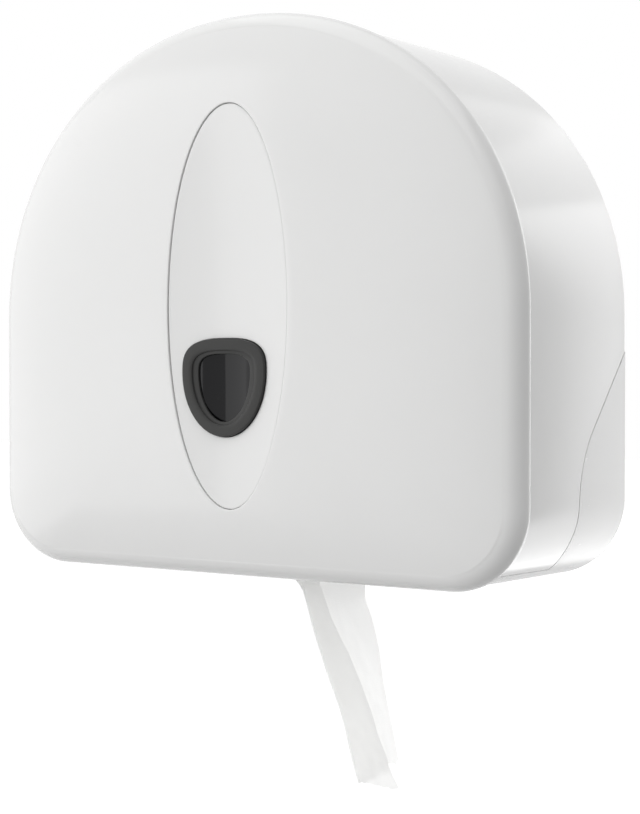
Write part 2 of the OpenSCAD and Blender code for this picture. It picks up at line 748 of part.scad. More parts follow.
module tear_bar_screws() color("silver") {
    for (side = [-1, 1], d = bar_screw_d) translate([side * bar_screw_x, -d, rail_z + bar_t]) {
        translate([0, 0, -rail_up - 0.6 + ease]) cylinder(r = screw_r, h = rail_up + 0.6);
        difference() {
            cylinder(r = screw_head_r - 0.4, h = screw_head_t);
            translate([-5, -0.4, 1.2]) cube([10, 0.8, 5]);
        }
    }
}

module lock_nut() color("gainsboro") {
    translate([0, -lock_d, lock_boss_z - nut_t]) difference() {
        cylinder(r = lock_boss_r - 1, h = nut_t, $fn = 6);
        translate([0, 0, -1]) cylinder(r = barrel_r + run_gap, h = nut_t + 2);
    }
}

module lock_barrel() color("gray") {
    length = barrel_top_z - cam_z - cam_t;
    translate([0, -lock_d, cam_z + cam_t]) difference() {
        union() {
            cylinder(r = barrel_r, h = length);
            translate([0, 0, length - 1.2]) cylinder(r = barrel_r + 1.5, h = 1.2);
        }
        translate([-3.5, -0.8, length - 6]) cube([7, 1.6, 9]);
        translate([0, 0, -1]) cylinder(r = screw_r + run_gap, h = 9);
    }
}

module lock_cam() color("silver") {
    translate([0, -lock_d, cam_z]) difference() {
        union() {
            cylinder(r = barrel_r, h = cam_t);
            translate([-cam_half_w, 0, 0]) cube([2 * cam_half_w, cam_reach - cam_half_w, cam_t]);
            translate([0, cam_reach - cam_half_w, 0]) cylinder(r = cam_half_w, h = cam_t);
        }
        translate([0, 0, -1]) cylinder(r = screw_r + run_gap, h = 9);
    }
}

module cam_screw() color("silver") {
    translate([0, -lock_d, cam_z]) difference() {
        union() {
            cylinder(r = screw_r, h = cam_t + 6);
            translate([0, 0, -screw_head_t]) cylinder(r = screw_head_r, h = screw_head_t);
        }
        translate([-5, -0.4, -screw_head_t - 1]) cube([10, 0.8, 2]);
    }
}

module keeper() color("silver") {
    x1 = keeper_x + keeper_w;
    leg_d = lock_d + cam_half_w + 1.2;
    top = cam_z - 1;
    difference() {
        union() {
            block([keeper_x, keeper_seat_d, cam_z - 26], [x1, keeper_seat_d + keeper_t, top]);
            block([keeper_x, keeper_seat_d, top - keeper_t], [x1, leg_d + keeper_t, top]);
            block([keeper_x, leg_d, top - keeper_t], [x1, leg_d + keeper_t, cam_z + cam_t + 1.5]);
        }
        for (z = keeper_screw_z) post(screw_r + run_gap, 0, past, keeper_screw_x, z);
    }
}

module keeper_screws() color("silver") {
    for (z = keeper_screw_z) screw(keeper_screw_x, z, keeper_seat_d + keeper_t);
}

base();
front_cover();
decor_panel();
panel_clips();
window_surround();
window_lens();
hinge_pin_left();
hinge_pin_right();
spindle();
spindle_screws();
spindle_sleeve();
spindle_cap();
core_brake_leaf();
roll_core();
paper_roll();
paper_web();
paper_tail();
tear_bar_left();
tear_bar_right();
tear_bar_screws();
lock_nut();
lock_barrel();
lock_cam();
cam_screw();
keeper();
keeper_screws();
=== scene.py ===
"""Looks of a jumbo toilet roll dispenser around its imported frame. Lengths are in millimetres
unless a line multiplies them by MM; "depth" is a point's distance from the wall, so y = -depth."""

import math

import bmesh
import bpy
import numpy as np
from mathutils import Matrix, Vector, noise


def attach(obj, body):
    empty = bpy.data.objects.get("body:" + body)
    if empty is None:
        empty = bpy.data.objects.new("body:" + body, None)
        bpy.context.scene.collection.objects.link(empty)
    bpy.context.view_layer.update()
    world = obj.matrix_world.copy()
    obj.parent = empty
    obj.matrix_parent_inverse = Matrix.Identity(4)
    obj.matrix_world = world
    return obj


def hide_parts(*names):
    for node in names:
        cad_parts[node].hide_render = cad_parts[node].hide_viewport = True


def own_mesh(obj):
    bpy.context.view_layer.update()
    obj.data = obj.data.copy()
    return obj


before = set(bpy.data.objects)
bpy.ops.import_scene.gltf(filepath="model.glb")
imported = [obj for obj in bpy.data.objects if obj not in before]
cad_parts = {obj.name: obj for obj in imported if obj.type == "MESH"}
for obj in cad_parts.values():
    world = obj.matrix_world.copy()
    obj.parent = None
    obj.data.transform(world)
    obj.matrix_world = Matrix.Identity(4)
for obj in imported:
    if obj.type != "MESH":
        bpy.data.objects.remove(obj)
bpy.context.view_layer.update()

MM = 0.001

# ---- the shell's sizes, as in the solid model ----
BODY_W, ARCH_H, DROP_H, FULLNESS, CORNER_R = 336.0, 163.5, 139.7, 2.08, 42.5
LIP_D, FLARE, LIP_STEP, EDGE_R, WALL = 119.0, 2.4, 1.4, 11.5, 3.0
DOME_H, DOME_POWER, EDGE_END = 7.5, 5.0, math.radians(75)
LOW, MIDDLE = -DROP_H, (ARCH_H - DROP_H) / 2
WALL_D, DOME_D = LIP_D - 2.5, LIP_D + EDGE_R / math.sin(EDGE_END)
PART_GAP, WALL_GAP, SEAT_GAP = 0.45, 1.0, 0.3
TRAY_X, TRAY_D, TRAY_FRONT_GAP = BODY_W / 2 - 20, 111.0, 1.6
CUT_X, CUT_D = TRAY_X + PART_GAP, TRAY_D + TRAY_FRONT_GAP
PIN_D, PIN_Z, PIN_R = 30.0, LOW + 23, 3.0
HEEL_R, SWEEP_Z, SWEEP_R, SWEEP_A = 28.0, LOW + 39, 58.0, math.radians(44.5)
ARM_X, ARM_T, ARM_L, ARM_HALF, ARM_EYE_R = BODY_W / 2 - 18, 5.0, 95.0, 6.0, 8.0
LOCK_D, LOCK_BOSS_R, BARREL_R, LOCK_BOSS_Z = 34.0, 11.0, 7.0, ARCH_H - 13
PANEL_A, PANEL_B, PANEL_Z, PANEL_T, PANEL_GAP = 38.6, 108.2, 5.8, 2.0, 0.4
PANEL_DISH, PANEL_SINK, LEDGE_W, LEDGE_T, LEDGE_ROOT = 1.8, 0.8, 5.0, 2.6, 5.4
WINDOW_A, WINDOW_X, WINDOW_Z, WINDOW_UP, WINDOW_DOWN = 26.7, -2.0, -29.2, 17.9, 34.4
WINDOW_SQUARE, BEZEL, LENS_LEDGE, LENS_SIDE, LENS_DISH = 2.95, 6.3, 1.7, 1.9, 1.6
WINDOW_FACE_D = DOME_D + DOME_H + 0.3
STEP_D = WINDOW_FACE_D - 1.3
LENS_D = STEP_D - 1.2


# ---- shapes shared with the solid model ----

def wall_inset(depth):
    """How far inside the lip's edge the side walls' outer face lies at a depth."""
    return (FLARE + LIP_STEP) * depth / WALL_D - FLARE


# How many points of the outline lie on each lower corner, each side and each half of the arch,
# then below: on the corner left of the cut, and on the flat between the corners
CORNER_N, SIDE_N, ARCH_N, UNDER_N, FLOOR_N = 18, 54, 91, 16, 63
UPPER = 2 * (CORNER_N + SIDE_N - 2 + ARCH_N) - 1


def outline(inset):
    """The body's outline: from the right-hand cut over the arch to the left-hand one, then back
    underneath."""
    w, h, r = BODY_W / 2 - inset, ARCH_H - inset, CORNER_R - inset
    corner, cx = LOW + inset + r, w - r
    turn = math.acos(min(1, max(-1, (CUT_X - cx) / r)))
    right = [(cx + r * math.cos(t), corner - r * math.sin(t))
             for t in np.linspace(turn, 0, CORNER_N)]
    right += [(w, z) for z in np.linspace(corner, 0, SIDE_N)[1:-1]]
    right += [(w * abs(math.cos(a)) ** (2 / FULLNESS), h * abs(math.sin(a)) ** (2 / FULLNESS))
              for a in np.linspace(0, math.pi / 2, ARCH_N)]
    right[-1] = (0.0, h)
    left = [(-x, z) for x, z in right[-2::-1]]
    under = [(-cx - r * math.cos(t), corner - r * math.sin(t))
             for t in np.linspace(turn, math.pi / 2, UNDER_N)[1:]]
    floor = [(x, LOW + inset) for x in np.linspace(-cx, cx, FLOOR_N)[1:-1]]
    back = [(-x, z) for x, z in under[::-1]]
    return np.array(right + left + under + floor + back)


def gauge(points, polygon, centre):
    """1 on a convex polygon, 0 at its centre."""
    p, u = points - centre, polygon - centre
    e = np.roll(u, -1, axis=0) - u
    top = p[:, None, 0] * e[None, :, 1] - p[:, None, 1] * e[None, :, 0]
    return (top / (u[:, 0] * e[:, 1] - u[:, 1] * e[:, 0])).max(axis=1)


RIM = outline(EDGE_R)


def front_depth(points):
    """Depth of the front face, domed from its rim to its middle."""
    return DOME_D + DOME_H * (1 - gauge(points, RIM, np.array([0, MIDDLE])) ** DOME_POWER)


def face_depth(points):
    """Depth of the panel's hollow face, carried on past its edge."""
    rho2 = (points[:, 0] / PANEL_A) ** 2 + ((points[:, 1] - PANEL_Z) / PANEL_B) ** 2
    return front_depth(points) - PANEL_SINK - PANEL_DISH * np.maximum(0, 1 - rho2)


def on_ellipse(directions, grow):
    """Where rays from the panel's middle meet its outline, grown by `grow`."""
    k = np.hypot(directions[:, 0] / (PANEL_A + grow), directions[:, 1] / (PANEL_B + grow))
    return directions / k[:, None] + [0, PANEL_Z]


def window_outline(inset, side=0.0):
    """The surround's teardrop outline, drawn in by `inset` all round and `side` in width only."""
    a = np.linspace(0, 2 * math.pi, 240, endpoint=False)
    up = np.sin(a) >= 0
    n = np.where(up, WINDOW_SQUARE, 2.0)
    h = np.where(up, WINDOW_UP - inset, WINDOW_DOWN - inset)
    x = (WINDOW_A - inset - side) * np.sign(np.cos(a)) * np.abs(np.cos(a)) ** (2 / n)
    z = h * np.sign(np.sin(a)) * np.abs(np.sin(a)) ** (2 / n)
    return np.stack([WINDOW_X + x, WINDOW_Z + z], 1)


def cheek_edge(z, gap):
    """Depth of the cheeks' curved front edge at a height, grown by `gap`."""
    r = SWEEP_R + gap
    heel = PIN_D + np.sqrt(np.maximum(0, (HEEL_R + gap) ** 2 - (z - PIN_Z) ** 2))
    sweep = PIN_D + HEEL_R - SWEEP_R + np.sqrt(np.maximum(0, r ** 2 - (z - SWEEP_Z) ** 2))
    top_d = PIN_D + HEEL_R - SWEEP_R + r * math.cos(SWEEP_A)
    top_z = SWEEP_Z + r * math.sin(SWEEP_A)
    line = top_d - (z - top_z) * math.tan(SWEEP_A)
    upright = PIN_D + HEEL_R + gap
    above = np.where(z < top_z, sweep, line)
    return np.where(z < PIN_Z, heel, np.where(z < SWEEP_Z, upright, above))


def smooth(t):
    """Rises softly from 0 at t = 0 to 1 at t = 1, and holds the ends."""
    t = min(1.0, max(0.0, t))
    return t * t * (3 - 2 * t)


def bump_at(t, place, width):
    """A single soft wave, 1 at its place."""
    return math.exp(-((t - place) / width) ** 2)


def ripple(x, y, z, scale):
    """Smooth noise about 0, its waves about `scale` long."""
    return noise.noise(Vector((x / scale, y / scale, z / scale)))


# ---- mesh helpers ----

class Builder:
    """Gathers rings and patches of points into one mesh."""

    def __init__(self):
        self.points, self.faces = [], []

    def add(self, xz, depth):
        """Adds points at one depth or at one each, and gives their numbers."""
        start = len(self.points)
        depth = np.broadcast_to(depth, len(xz))
        self.points += [(x, -d, z) for (x, z), d in zip(xz, depth)]
        return np.arange(start, start + len(xz))

    def strip(self, a, b, closed=True):
        n = len(a)
        for i in range(n if closed else n - 1):
            j = (i + 1) % n
            self.faces.append((a[i], a[j], b[j], b[i]))

    def rings(self, rows, closed=True):
        for a, b in zip(rows, rows[1:]):
            self.strip(a, b, closed)

    def cap(self, ring, depth, centre):
        middle = self.add(np.array([centre]), depth)[0]
        for i in range(len(ring)):
            self.faces.append((ring[i], ring[(i + 1) % len(ring)], middle))

    def make(self, name, look, body, nodes, sharp=32):
        mesh = bpy.data.meshes.new(name)
        points = [tuple(c * MM for c in p) for p in self.points]
        mesh.from_pydata(points, [], [tuple(f) for f in self.faces])
        return place_piece(name, mesh, look, body, nodes, sharp)


def place_piece(name, mesh, look, body, nodes, sharp=32):
    """Puts a mesh in the scene: faces outwards, smooth up to `sharp` degrees, riding on a body."""
    obj = bpy.data.objects.new(name, mesh)
    bpy.context.scene.collection.objects.link(obj)
    bm = bmesh.new()
    bm.from_mesh(mesh)
    bmesh.ops.remove_doubles(bm, verts=bm.verts, dist=1e-6)
    bmesh.ops.recalc_face_normals(bm, faces=bm.faces)
    bm.to_mesh(mesh)
    bm.free()
    mesh.polygons.foreach_set("use_smooth", [True] * len(mesh.polygons))
    mesh.set_sharp_from_angle(angle=math.radians(sharp))
    mesh.materials.clear()
    mesh.materials.append(look)
    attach(obj, body)
    if nodes:
        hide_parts(*nodes)
    return obj


# ---- materials ----

def add_node(tree, kind, inputs=(), **settings):
    """Adds a shader node, makes its settings, then sets its inputs or links them to sockets."""
    n = tree.nodes.new("ShaderNode" + kind)
    for key, value in settings.items():
        setattr(n, key, value)
    for key, value in dict(inputs).items():
        if isinstance(value, bpy.types.NodeSocket):
            tree.links.new(value, n.inputs[key])
        else:
            n.inputs[key].default_value = value
    return n


class Look:
    """A node material under construction: `place` is the object's own coordinates, in metres."""

    def __init__(self, name):
        self.mat = bpy.data.materials.new(name)
        self.mat.use_nodes = True
        self.tree = self.mat.node_tree
        self.bsdf = self.tree.nodes["Principled BSDF"]
        self.place = self.node("TexCoord").outputs["Object"]

    def node(self, kind, inputs=(), **settings):
        return add_node(self.tree, kind, inputs, **settings)

    def noise(self, scale, detail, stretch=(1, 1, 1), roughness=0.55):
        where = self.node("Mapping", {"Vector": self.place, "Scale": stretch}).outputs["Vector"]
        return self.node("TexNoise", {"Vector": where, "Scale": scale, "Detail": detail,
                                      "Roughness": roughness}).outputs["Fac"]

    def spread(self, value, low, high, start=0.0, end=1.0):
        """Maps start...end to low...high, and holds the value beyond them."""
        return self.node("MapRange", {"Value": value, "From Min": start, "From Max": end,
                                      "To Min": low, "To Max": high}).outputs["Result"]

    def sum(self, a, b, operation="ADD"):
        return self.node("Math", {0: a, 1: b}, operation=operation).outputs["Value"]

    def mix(self, share, a, b):
        """Mixes two colours, each a tuple or a socket."""
        n = self.node("Mix", {"Factor": share}, data_type="RGBA")
        for key, value in (("A", a), ("B", b)):
            socket = next(s for s in n.inputs if s.name == key and s.type == "RGBA")
            if isinstance(value, tuple):
                socket.default_value = (*value, 1)
            else:
                self.tree.links.new(value, socket)
        return next(s for s in n.outputs if s.type == "RGBA")

    def relief(self, height, distance, onto=None):
        inputs = {"Height": height, "Distance": distance, "Strength": 1.0}
        if onto:
            inputs["Normal"] = onto
        return self.node("Bump", inputs).outputs["Normal"]

    def edges(self):
        """1 on sharp outward edges, where a surface wears."""
        return self.spread(self.node("NewGeometry").outputs["Pointiness"], 0.0, 1.0, 0.53, 0.62)

    def finish(self, colour, roughness, normal, **fixed):
        """Links the shader's three main inputs, sets the `fixed` ones, and gives the material."""
        links = self.tree.links.new
        links(colour, self.bsdf.inputs["Base Color"])
        links(roughness, self.bsdf.inputs["Roughness"])
        links(normal, self.bsdf.inputs["Normal"])
        for key, value in fixed.items():
            self.bsdf.inputs[key.replace("_", " ")].default_value = value
        return self.mat


def plastic(name, colour, roughness, grain=2e-6, grain_scale=900.0, swell=2.5e-6, wear=0.05,
            ior=1.49):
    """Moulded plastic: slow unevenness from the mould, fine grain, faint rubbing, duller edges."""
    look = Look(name)
    cloud = look.noise(16.0, 5.0)
    rub = look.spread(look.noise(60.0, 8.0, (1, 1, 5), 0.7), 0.0, 1.0, 0.52, 0.74)
    worn = look.sum(look.edges(), look.noise(220.0, 4.0), "MULTIPLY")
    clean = look.mix(cloud, tuple(c * 0.985 for c in colour), tuple(c * 1.01 for c in colour))
    dull = tuple(c * (1 - wear) + 0.3 * wear for c in colour)
    tone = look.mix(worn, clean, dull)
    rough = look.sum(look.spread(cloud, roughness - 0.02, roughness + 0.03),
                     look.sum(rub, 0.04, "MULTIPLY"))
    rough = look.sum(rough, look.sum(worn, 0.15, "MULTIPLY"))
    normal = look.relief(look.noise(90.0, 2.0), swell)
    normal = look.relief(look.noise(grain_scale, 3.0), grain, normal)
    return look.finish(tone, rough, normal, IOR=ior)


def metal(name, colour, roughness, stretch=(1, 1, 1)):
    """Plated or rolled steel: drawn grain, clouded plating and a few darker marks."""
    look = Look(name)
    cloud = look.noise(90.0, 6.0)
    grain = look.noise(2600.0, 3.0, stretch)
    marks = look.spread(look.noise(420.0, 6.0), 0.0, 1.0, 0.62, 0.8)
    tone = look.mix(cloud, tuple(c * 0.86 for c in colour), colour)
    tone = look.mix(marks, tone, tuple(c * 0.62 for c in colour))
    rough = look.sum(look.spread(grain, roughness - 0.07, roughness + 0.07),
                     look.sum(marks, 0.18, "MULTIPLY"))
    return look.finish(tone, rough, look.relief(grain, 4e-6), Metallic=1.0)


def cardboard():
    """Grey-brown board with flecks and fibres, and the spiral seam of a wound core."""
    look = Look("cardboard")
    fibres = look.noise(900.0, 5.0, (1, 4, 1))
    flecks = look.spread(look.noise(1500.0, 2.0), 0.0, 1.0, 0.6, 0.72)
    tone = look.mix(fibres, (0.30, 0.225, 0.15), (0.44, 0.345, 0.24))
    tone = look.mix(flecks, tone, (0.20, 0.15, 0.10))
    xyz = look.node("SeparateXYZ", {"Vector": look.place}).outputs
    turn = look.sum(look.sum(xyz["Z"], xyz["X"], "ARCTAN2"), 1 / (2 * math.pi), "MULTIPLY")
    way = look.sum(look.sum(xyz["Y"], 1 / 0.07, "MULTIPLY"), turn)
    seam = look.spread(look.sum(way, 0.0, "FRACT"), 1.0, 0.0, 0.0, 0.02)
    tone = look.mix(seam, tone, (0.17, 0.125, 0.08))
    normal = look.relief(look.sum(fibres, look.sum(seam, -0.8, "MULTIPLY")), 6e-5)
    return look.finish(tone, look.spread(fibres, 0.82, 0.95), normal)


def tissue(name, wound=False):
    """Soft white crepe with ridges and loose fibres; light comes through it unless it is wound."""
    look = Look(name)
    cloud = look.noise(70.0, 6.0)
    tone = look.mix(cloud, (0.92, 0.92, 0.913), (0.965, 0.965, 0.96))
    fibres = look.noise(2600.0, 4.0)
    if wound:
        # the sides of the roll show its layers as rings, and its outside shows crepe
        xyz = look.node("SeparateXYZ", {"Vector": look.place}).outputs
        flat = look.node("CombineXYZ", {"X": xyz["X"], "Z": xyz["Z"]}).outputs["Vector"]
        radius = look.node("VectorMath", {0: flat}, operation="LENGTH").outputs["Value"]
        wavy = look.sum(radius, look.sum(cloud, 6e-4, "MULTIPLY"))
        layers = look.node("TexNoise", {"W": wavy, "Scale": 1900.0, "Detail": 3.0},
                           noise_dimensions="1D").outputs["Fac"]
        facing = look.node("TexCoord").outputs["Normal"]
        facing = look.node("SeparateXYZ", {"Vector": facing}).outputs["Y"]
        facing = look.node("Math", {0: facing}, operation="ABSOLUTE").outputs["Value"]
        rings = look.sum(look.spread(layers, 0.0, 0.5, 0.45, 0.75), facing, "MULTIPLY")
        tone = look.mix(rings, tone, (0.70, 0.70, 0.69))
        height = look.sum(look.sum(layers, facing, "MULTIPLY"),
                          look.sum(fibres, 0.5, "MULTIPLY"))
        return look.finish(tone, look.spread(fibres, 0.88, 0.98), look.relief(height, 1.2e-4))
    crepe = look.noise(1500.0, 2.0, (1, 0.12, 1))
    dots = look.node("TexVoronoi", {"Vector": look.place, "Scale": 330.0}).outputs["Distance"]
    height = look.sum(look.sum(fibres, 0.35, "MULTIPLY"), look.sum(dots, 0.5, "MULTIPLY"))
    height = look.sum(crepe, height)
    normal = look.relief(height, 5e-5)
    look.finish(tone, look.spread(fibres, 0.9, 0.98), normal)
    through = look.node("BsdfTranslucent", {"Color": tone, "Normal": normal}).outputs["BSDF"]
    both = look.node("MixShader", {0: 0.62, 1: look.bsdf.outputs["BSDF"], 2: through})
    end = look.tree.nodes["Material Output"]
    look.tree.links.new(both.outputs["Shader"], end.inputs["Surface"])
    return look.mat


WHITE = plastic("white_gloss", (0.80, 0.80, 0.795), 0.14)
PANEL = plastic("panel_gloss", (0.80, 0.80, 0.795), 0.10, grain=1.5e-6, swell=1.5e-6)
BASE = plastic("base_satin", (0.79, 0.79, 0.785), 0.24, grain=4e-6)
SURROUND = plastic("surround_satin", (0.036, 0.036, 0.035), 0.30, grain=6e-6,
                   grain_scale=1500.0, ior=1.32)
LENS = plastic("lens_polished", (0.005, 0.005, 0.006), 0.05, grain=5e-7, swell=1e-6,
               wear=0.02, ior=1.32)
GREY = plastic("sleeve_grey", (0.45, 0.46, 0.47), 0.42, grain=8e-6, grain_scale=1400.0,
               wear=0.1)
BARREL = plastic("barrel_grey", (0.09, 0.095, 0.10), 0.38, grain=6e-6, grain_scale=1500.0,
                 wear=0.15)
PLATED = metal("plated_steel", (0.66, 0.66, 0.65), 0.30)
SHEET_STEEL = metal("rolled_steel", (0.62, 0.62, 0.63), 0.26, (1, 0.05, 1))
CARD = cardboard()
TISSUE = tissue("tissue")
WOUND = tissue("wound_tissue", wound=True)


# ---- pieces taken over from the solid model with softened edges ----

# Faces that turn by less than this many degrees are shown as one round face
ROUND_TO, BASE_ROUND_TO = 31, 12


def soften(node, look, body, width, sharp):
    """Stands a copy of a solid in for it: flat faces merged, its sharp edges rounded by `width`."""
    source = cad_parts[node]
    mesh = source.data.copy()
    mesh.transform(source.matrix_world)
    bm = bmesh.new()
    bm.from_mesh(mesh)
    bmesh.ops.remove_doubles(bm, verts=bm.verts, dist=2e-6)
    bmesh.ops.dissolve_limit(bm, angle_limit=math.radians(0.4), verts=bm.verts, edges=bm.edges)
    if width:
        edges = [e for e in bm.edges
                 if len(e.link_faces) == 2 and e.calc_face_angle(0) > math.radians(sharp)]
        bmesh.ops.bevel(bm, geom=edges, offset=width * MM, segments=2, profile=0.5,
                        affect="EDGES", clamp_overlap=True)
    bmesh.ops.triangulate(bm, faces=[f for f in bm.faces if len(f.verts) > 4])
    bm.to_mesh(mesh)
    bm.free()
    mesh.name = node + "_fine"
    place_piece(node + "_fine", mesh, look, body, [node], sharp)


# node, look, body, slot, width of the rounded edges
SOFTENED = [
    ("base", BASE, "base", "base_plastic", 0.0),
    ("panel_clips", PLATED, "cover", "steel", 0.12),
    ("hinge_pin_left", PLATED, "base", "steel", 0.4),
    ("hinge_pin_right", PLATED, "base", "steel", 0.4),
    ("spindle", BASE, "base", "base_plastic", 0.5),
    ("spindle_screws", PLATED, "base", "steel", 0.25),
    ("spindle_sleeve", GREY, "base", "sleeve_plastic", 0.5),
    ("spindle_cap", GREY, "base", "sleeve_plastic", 0.5),
    ("core_brake_leaf", SHEET_STEEL, "base", "steel", 0.1),
    ("roll_core", CARD, "roll", "cardboard", 0.3),
    ("tear_bar_left", SHEET_STEEL, "base", "steel", 0.12),
    ("tear_bar_right", SHEET_STEEL, "base", "steel", 0.12),
    ("tear_bar_screws", PLATED, "base", "steel", 0.25),
    ("lock_nut", GREY, "cover", "sleeve_plastic", 0.3),
    ("lock_barrel", BARREL, "lock", "barrel_plastic", 0.35),
    ("lock_cam", PLATED, "lock", "steel", 0.25),
    ("cam_screw", PLATED, "lock", "steel", 0.25),
    ("keeper", SHEET_STEEL, "base", "steel", 0.2),
    ("keeper_screws", PLATED, "base", "steel", 0.25),
]
for node, look, body, slot, width in SOFTENED:
    soften(node, look, body, width, BASE_ROUND_TO if node == "base" else ROUND_TO)


def build_cheeks():
    """Truly round outer faces of the body's cheeks, a hair outside the solid's flats."""
    b = Builder()
    proud, turned_in, under_x = 0.06, 1.5, 96.0
    cx, cz = BODY_W / 2 - CORNER_R, LOW + CORNER_R

    def radius(depth, inward):
        return CORNER_R - wall_inset(depth) + proud - inward

    def cut_angle(depth):
        return math.acos((TRAY_X - cx) / radius(depth, 0.0))

    def on_corner(angle, depth, inward=0.0):
        r = radius(depth, inward)
        return cx + r * math.cos(angle), cz - r * math.sin(angle)

    # round the corner from the tray's cut, then up the side to where the edge meets the wall
    top = SWEEP_Z + SWEEP_R * math.sin(SWEEP_A)
    top += (PIN_D + HEEL_R - SWEEP_R + SWEEP_R * math.cos(SWEEP_A)) / math.tan(SWEEP_A)
    columns = [(k, cz) for k in np.linspace(0, 1, 20)]
    columns += [(1.0, z) for z in np.linspace(cz, top, 40)[1:]]

    def on_cheek(column, depth, inward=0.0):
        k, z = column
        if k < 1:
            return on_corner(cut_angle(depth) * (1 - k), depth, inward)
        return cx + radius(depth, inward), z

    # each column's height follows from its depth and the edge's depth from the height: by turns
    edge = []
    for column in columns:
        depth = HEEL_R
        for _ in range(8):
            depth = max(0.0, float(cheek_edge(on_cheek(column, depth)[1], 0.0)))
        edge.append(depth)
    edge = np.array(edge)
    for side in (-1, 1):
        rows = []
        for f in np.linspace(0, 1, 12):
            line = map(on_cheek, columns, edge * f)
            rows.append(b.add([(side * x, z) for x, z in line], edge * f))
        line = [on_cheek(c, d, turned_in) for c, d in zip(columns, edge)]
        rows.append(b.add([(side * x, z) for x, z in line], edge))
        b.rings(rows, closed=False)
        # underneath, from the wall to the tray's front: the flat, then the corner up to the cut
        rows = []
        for depth, inward in [(d, 0.0) for d in np.linspace(0, TRAY_D, 12)] + [(TRAY_D, turned_in)]:
            line = [(x, cz - radius(depth, inward)) for x in np.linspace(under_x, cx, 4)[:-1]]
            line += [on_corner(a, depth, inward)
                     for a in np.linspace(math.pi / 2, cut_angle(depth), 16)]
            line.append((TRAY_X, line[-1][1] + turned_in))
            rows.append(b.add([(side * x, z) for x, z in line], depth))
        b.rings(rows, closed=False)
    b.make("base_cheeks", BASE, "base", ())


build_cheeks()


# ---- cover ----

def inner_inset(depth):
    """How far inside the lip's edge the side walls' inner face lies at a depth."""
    first = wall_inset(WALL_GAP) + WALL
    return first + (LIP_STEP + WALL - first) * (depth - WALL_GAP) / (LIP_D - WALL_GAP)


def build_cover():
    """The cover as one closed skin, from the side walls over the front to the inside and back."""
    b = Builder()
    profile = [(wall_inset(d), d) for d in (CUT_D, 114.5, 116.0)]
    # the lip: a small step out from the side wall, with rounded corners
    profile += [(1.38, 116.4), (1.25, 116.7), (0.2, 117.75), (0.06, 117.9), (0.0, 118.1),
                (0.0, 118.6)]
    profile += [(EDGE_R * (1 - math.cos(a)), LIP_D + EDGE_R * math.sin(a))
                for a in np.linspace(0, EDGE_END, 22)]
    rows = [b.add(outline(i), d) for i, d in profile]
    rim = outline(profile[-1][0])
    rays = RIM - [0, PANEL_Z]
    for t in np.linspace(0, 1, 50)[1:] ** 1.5:
        p = rim + (on_ellipse(rays, PANEL_GAP + 0.7) - rim) * t
        rows.append(b.add(p, front_depth(p)))
    for grow, under in ((PANEL_GAP + 0.25, 0.03), (PANEL_GAP + 0.06, 0.15), (PANEL_GAP, 0.4)):
        p = on_ellipse(rays, grow)
        rows.append(b.add(p, front_depth(p) - under))
    # the ledge that carries the panel
    top = PANEL_T + SEAT_GAP
    for grow, under in ((PANEL_GAP, top), (-LEDGE_W, top), (-LEDGE_W, top + LEDGE_T),
                        (LEDGE_ROOT, top + LEDGE_T)):
        p = on_ellipse(rays, grow)
        rows.append(b.add(p, face_depth(p) - under))
    for t in np.linspace(0, 1, 18):
        p = on_ellipse(rays, LEDGE_ROOT) * (1 - t) + RIM * t
        rows.append(b.add(p, front_depth(p) - WALL))
    inner_r = EDGE_R - LIP_STEP - WALL
    for a in np.linspace(EDGE_END, 0, 9):
        rows.append(b.add(outline(LIP_STEP + WALL + inner_r * (1 - math.cos(a))),
                          LIP_D + (EDGE_R - WALL) * math.sin(a)))
    rows.append(b.add(outline(inner_inset(CUT_D)), CUT_D))
    b.rings(rows)
    # the side walls behind the tray's front, down to the cheeks' edge
    outer = wall_rows(b, rows[0][:UPPER], wall_inset)
    inner = wall_rows(b, rows[-1][:UPPER], inner_inset)
    b.rings(outer, closed=False)
    b.rings(inner, closed=False)
    b.strip(outer[-1], inner[-1], closed=False)
    for k in (0, -1):
        b.strip([r[k] for r in outer], [r[k] for r in inner], closed=False)
    lower = np.arange(UPPER - 1, len(rows[0]) + 1) % len(rows[0])
    b.strip(rows[0][lower], rows[-1][lower], closed=False)
    b.make("cover_shell", WHITE, "cover", ["front_cover"])


def wall_rows(b, first, inset_of):
    """Rows of a side wall from the tray's front back to the edge that follows the cheek."""
    low, high = outline(inset_of(0.0))[:UPPER], outline(inset_of(CUT_D))[:UPPER]

    def at(depth):
        return low + (high - low) * (depth / CUT_D)[:, None]

    start = np.full(UPPER, HEEL_R)
    for _ in range(6):
        start = np.maximum(WALL_GAP, cheek_edge(at(start)[:, 1], PART_GAP))
    rows = [first]
    for f in np.linspace(0, 1, 9)[1:]:
        depth = CUT_D + (start - CUT_D) * f
        rows.append(b.add(at(depth), depth))
    return rows


def prism(name, loops, x0, x1, width=0.4):
    """A plate of (depth, height) outlines, the first its edge and the rest its holes.

    Its edges are rounded by `width`."""
    curve = bpy.data.curves.new(name, "CURVE")
    curve.dimensions, curve.fill_mode = "2D", "BOTH"
    curve.extrude = (x1 - x0) / 2 * MM - width * MM
    curve.bevel_depth, curve.bevel_resolution = width * MM, 2
    curve.offset = -width * MM
    for loop in loops:
        line = curve.splines.new("POLY")
        line.points.add(len(loop) - 1)
        line.use_cyclic_u = True
        for point, (d, z) in zip(line.points, loop):
            point.co = (-d * MM, z * MM, 0, 1)
    holder = bpy.data.objects.new(name, curve)
    mesh = bpy.data.meshes.new_from_object(holder)
    bpy.data.objects.remove(holder)
    # the curve's own axes, x y z, are the part's y z x
    for v in mesh.vertices:
        y, z, x = v.co
        v.co = (x + (x0 + x1) / 2 * MM, y, z)
    place_piece(name, mesh, WHITE, "cover", ())


